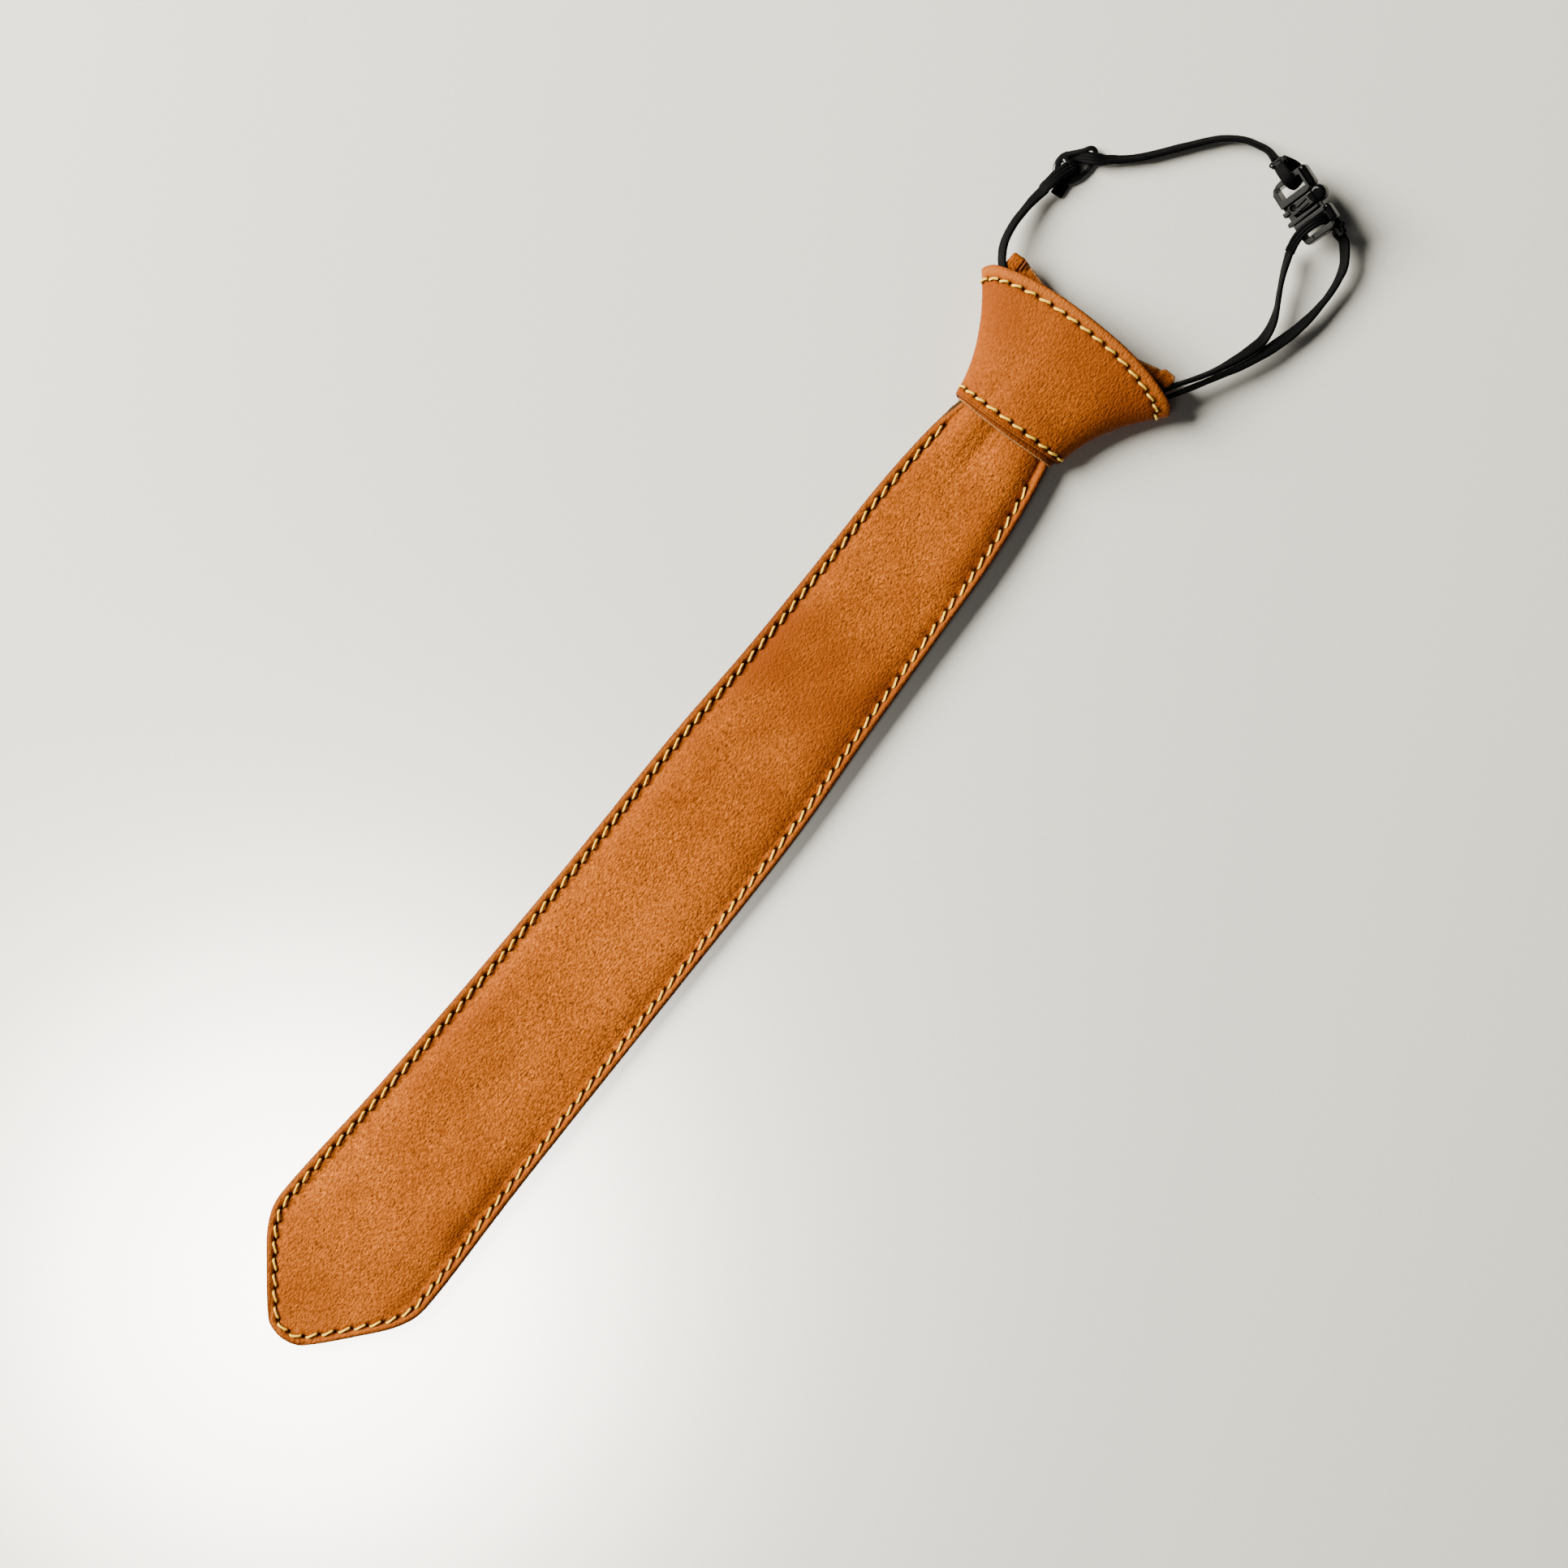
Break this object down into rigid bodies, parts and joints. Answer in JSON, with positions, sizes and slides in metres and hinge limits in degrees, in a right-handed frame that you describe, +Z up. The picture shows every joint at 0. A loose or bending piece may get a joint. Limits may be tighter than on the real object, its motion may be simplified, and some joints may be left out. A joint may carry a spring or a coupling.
{
  "type": "pre-tied necktie",
  "caption": "Pre-tied leather necktie with a pointed stitched blade, a flared knot, and an elastic neck strap with a slider and a breakaway clip.",
  "frame": {"origin": "under the middle of the leather, on the surface the tie lies on", "axes": "+X across the tie, +Y from the pointed tip to the neck, +Z up out of the tie's face"},
  "size_m": [0.0747, 0.3808, 0.015],
  "materials": {
    "tan_leather": "satin vegetable-tanned leather with fine pebbled grain",
    "suede": "dark brown suede, fuzzy",
    "padding": "felted interlining",
    "gold_thread": "waxed twisted thread",
    "black_thread": "twisted thread",
    "black_elastic": "ribbed woven elastic",
    "black_gloss_plastic": "moulded, glossy",
    "black_satin_plastic": "moulded, satin face with glossy sides",
    "stiffener": "plain sheet"
  },
  "bodies": {
    "tie": {"blade_face": "tan_leather", "blade_interlining": "padding", "blade_lining": "suede", "blade_stitching": "gold_thread", "knot_wrap": "tan_leather", "knot_lining": "suede", "knot_former": "stiffener", "knot_top_stitching": "gold_thread", "knot_bottom_stitching": "gold_thread", "knot_back_stitching": "gold_thread", "collar_band": "tan_leather", "collar_band_stitching": "gold_thread", "strap_left": "black_elastic", "strap_top": "black_elastic", "strap_loop": "black_elastic", "strap_anchor_tacks": "black_thread", "clip_socket": "black_satin_plastic", "clip_tack": "black_thread"},
    "slider": {"slider": "black_gloss_plastic"},
    "plug": {"clip_plug": "black_satin_plastic"}
  },
  "joints": [
    {"name": "slider_adjust", "type": "slide", "parent": "tie", "child": "slider", "axis": [0.4067, 0.9135, 0], "range_m": [-0.008, 0.003], "deforming": ["strap_left", "strap_top"]},
    {"name": "clip_release", "type": "slide", "parent": "tie", "child": "plug", "axis": [0.9345, -0.3401, 0.1045], "range_m": [0, 0.012], "deforming": ["strap_loop"]}
  ]
}
